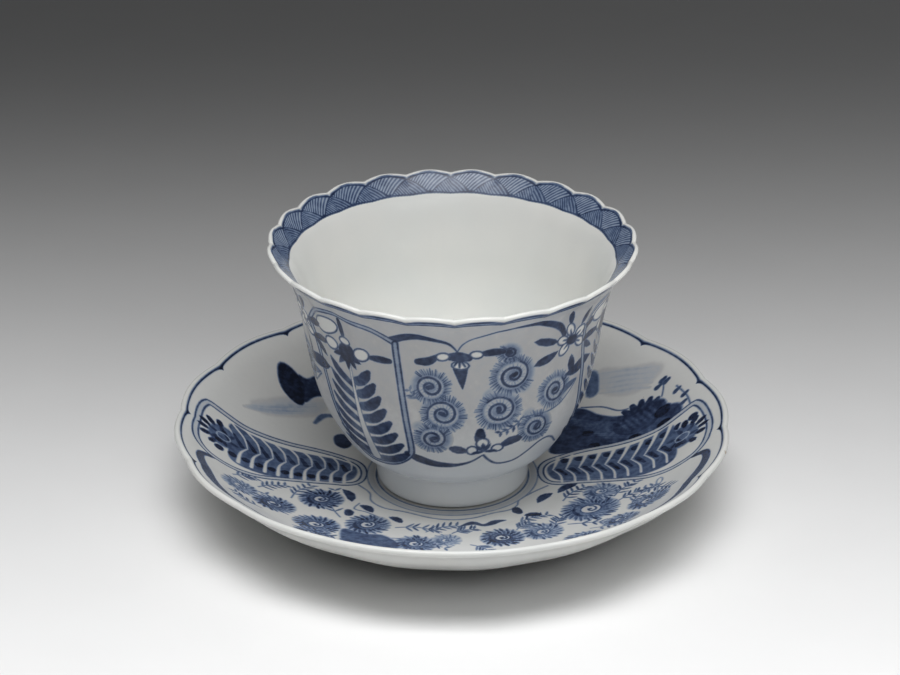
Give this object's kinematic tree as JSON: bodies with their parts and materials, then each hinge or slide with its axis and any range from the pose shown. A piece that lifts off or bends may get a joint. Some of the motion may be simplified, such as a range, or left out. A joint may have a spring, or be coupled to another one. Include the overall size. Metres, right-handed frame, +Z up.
{
  "type": "teacup",
  "caption": "Tall fluted porcelain teacup with a flared scalloped rim and a ring foot, standing on a matching deep saucer with a bracket-lobed rim; the cup lifts off.",
  "frame": {"origin": "on the table, under the middle of the saucer's foot ring", "axes": "+Z up along the common axis of cup and saucer; -Y towards the side that carries the front painted panels"},
  "size_m": [0.1314, 0.1314, 0.0662],
  "materials": {
    "saucer_porcelain": "glossy bluish-white glaze over cobalt blue painting",
    "cup_porcelain": "glossy bluish-white glaze over cobalt blue painting"
  },
  "bodies": {
    "saucer": {"saucer": "saucer_porcelain"},
    "cup": {"cup": "cup_porcelain"}
  },
  "joints": [
    {"name": "cup_lift", "type": "slide", "parent": "saucer", "child": "cup", "axis": [0, 0, 1], "range_m": [0, 0.05]}
  ]
}
